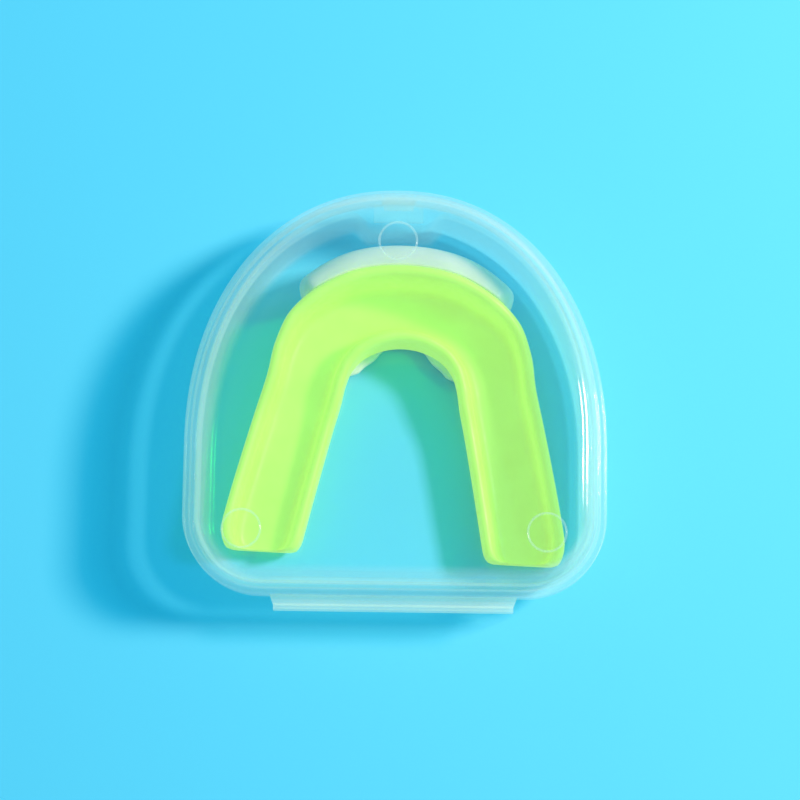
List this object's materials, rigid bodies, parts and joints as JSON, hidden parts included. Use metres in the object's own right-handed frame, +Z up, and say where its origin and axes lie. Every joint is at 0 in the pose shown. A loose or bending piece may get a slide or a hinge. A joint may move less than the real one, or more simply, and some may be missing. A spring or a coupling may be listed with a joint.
{
  "type": "mouthguard with case",
  "caption": "Two-colour sports mouthguard in a clear hinged clamshell case with a snap latch at the front.",
  "frame": {"origin": "centre of the whole closed object's bounding box, on the plane it stands on", "axes": "+Z up from the base towards the lid; the snap latch faces -Y and the living hinge is at +Y; X runs across the case, parallel to the hinge"},
  "size_m": [0.08, 0.082, 0.026],
  "materials": {
    "case_plastic": "clear, slightly milky polypropylene",
    "lime_eva": "soft satin EVA, slightly translucent",
    "white_eva": "soft satin EVA, milky white"
  },
  "bodies": {
    "base": {"case_base": "case_plastic", "latch_keeper": "case_plastic", "hinge_leaf_base": "case_plastic", "hinge_web": "case_plastic"},
    "lid": {"case_lid": "case_plastic", "hinge_leaf_lid": "case_plastic", "lid_ring_front": "case_plastic", "lid_ring_left": "case_plastic", "lid_ring_right": "case_plastic"},
    "latch": {"latch_tongue": "case_plastic", "latch_barb": "case_plastic", "latch_finger_lip": "case_plastic"},
    "mouthguard": {"guard_liner": "lime_eva", "guard_front_insert": "white_eva"}
  },
  "joints": [
    {"name": "lid_hinge", "type": "hinge", "parent": "base", "child": "lid", "pos_m": [0, 0.04, 0.01305], "axis": [-1, 0, 0], "range_deg": [0, 180], "deforming": ["hinge_web", "latch_barb"]},
    {"name": "latch_flex", "type": "hinge", "parent": "lid", "child": "latch", "pos_m": [0, -0.0399, 0.0131], "axis": [-1, 0, 0], "range_deg": [0, 14], "stiffness_Nm_per_rad": 0.2},
    {"name": "guard_lift", "type": "slide", "parent": "base", "child": "mouthguard", "axis": [0, 0, 1], "range_m": [0, 0.004]}
  ]
}
